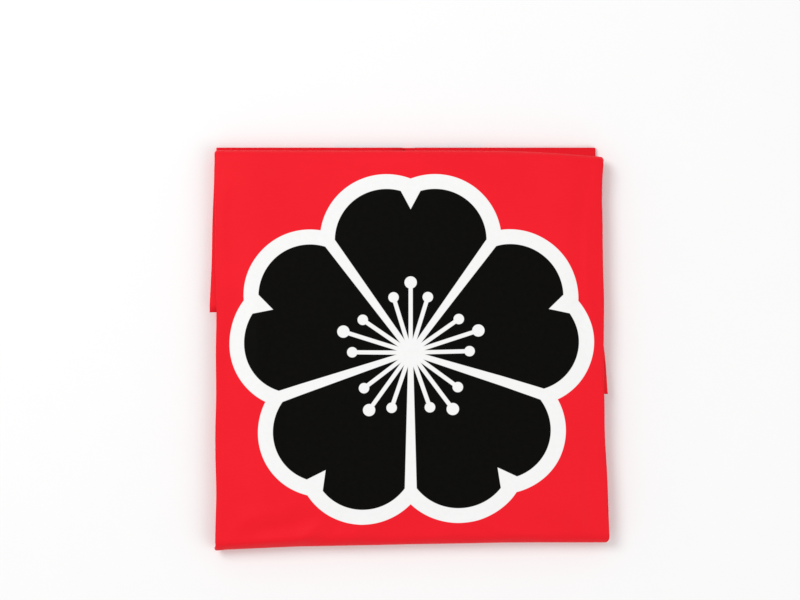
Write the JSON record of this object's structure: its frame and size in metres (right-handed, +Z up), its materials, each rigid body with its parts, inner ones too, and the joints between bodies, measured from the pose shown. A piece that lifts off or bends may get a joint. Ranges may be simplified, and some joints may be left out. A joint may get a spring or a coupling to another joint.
{
  "type": "happi coat, folded flat",
  "caption": "Child's red festival happi coat, folded flat with its printed back uppermost, its sleeves and blue belt folded in.",
  "frame": {"origin": "middle of the folded coat's box, on the surface that it rests on", "axes": "+X across the printed panel to its right, +Y to the top of the print, +Z up from the surface"},
  "size_m": [0.2597, 0.2631, 0.016],
  "materials": {
    "red_cloth": "plain-woven polyester with a faint sheen, printed on the back",
    "blue_cloth": "plain-woven polyester with a faint sheen"
  },
  "bodies": {
    "root": {"back": "red_cloth", "front_left": "red_cloth", "front_right": "red_cloth", "collar_left": "blue_cloth", "collar_right": "blue_cloth", "sleeve_left": "red_cloth", "sleeve_right": "red_cloth", "belt": "blue_cloth", "hidden_layers": "red_cloth"}
  },
  "joints": []
}
